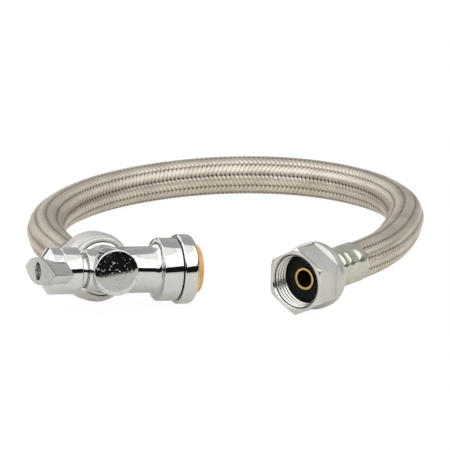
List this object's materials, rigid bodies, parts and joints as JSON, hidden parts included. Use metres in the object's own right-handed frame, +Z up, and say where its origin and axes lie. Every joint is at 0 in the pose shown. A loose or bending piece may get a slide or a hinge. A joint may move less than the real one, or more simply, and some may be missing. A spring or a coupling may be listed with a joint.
{
  "type": "angle stop valve",
  "caption": "Chrome angle stop valve with a push-to-connect inlet, a quarter-turn lever and a fitted braided connector hose that ends in a hex coupling nut.",
  "frame": {"origin": "on the surface that the valve lies on, under the middle of the valve without its hose", "axes": "+X along the inlet arm towards the pipe socket, level; +Y towards the hose's side; +Z up"},
  "size_m": [0.1909, 0.1853, 0.0299],
  "materials": {
    "chrome_plate": "bright polished chrome plate over brass",
    "satin_plate": "fine satin nickel plate",
    "nut_plate": "softly polished chrome plate over brass",
    "braid": "rubber tube in a satin braid of fine stainless wire under a clear film",
    "ferrule_steel": "polished stainless sleeve with a pale olive tint, crimped",
    "brass": "turned brass",
    "stainless": "stamped stainless steel",
    "ptfe": "waxy white plastic",
    "spacer_plastic": "moulded grey plastic",
    "collar_plastic": "moulded amber plastic",
    "black_rubber": "moulded black rubber"
  },
  "bodies": {
    "valve": {"valve_body": "chrome_plate", "bonnet": "chrome_plate", "inlet_cap": "chrome_plate", "outlet_cap": "satin_plate", "inlet_seat": "ptfe", "outlet_seat": "ptfe", "stem_washer": "ptfe", "grab_ring": "stainless", "oring_spacer": "spacer_plastic", "inlet_oring": "black_rubber", "tube_liner": "ptfe", "tail_retaining_ring": "stainless", "tail_oring_inner": "black_rubber", "tail_oring_outer": "black_rubber", "near_insert": "brass", "near_ferrule": "ferrule_steel", "hose": "braid", "far_ferrule": "ferrule_steel", "far_insert": "brass", "cone_washer": "black_rubber"},
    "lever": {"handle": "chrome_plate", "handle_screw": "stainless", "stem": "brass", "stem_oring_inner": "black_rubber", "stem_oring_outer": "black_rubber", "ball": "chrome_plate"},
    "collar": {"release_collar": "collar_plastic"},
    "nut": {"coupling_nut": "nut_plate"}
  },
  "joints": [
    {"name": "lever_turn", "type": "hinge", "parent": "valve", "child": "lever", "pos_m": [-0.00449, -0.00274, 0.01802], "axis": [0.9961, 0, -0.0885], "range_deg": [0, 90]},
    {"name": "collar_press", "type": "slide", "parent": "valve", "child": "collar", "axis": [-0.9961, 0, 0.0885], "range_m": [0, 0.0015], "stiffness_N_per_m": 1500},
    {"name": "nut_turn", "type": "hinge", "parent": "valve", "child": "nut", "pos_m": [0.0664, -0.0333, 0.01495], "axis": [0.815, 0.5771, -0.0523], "continuous": true}
  ]
}
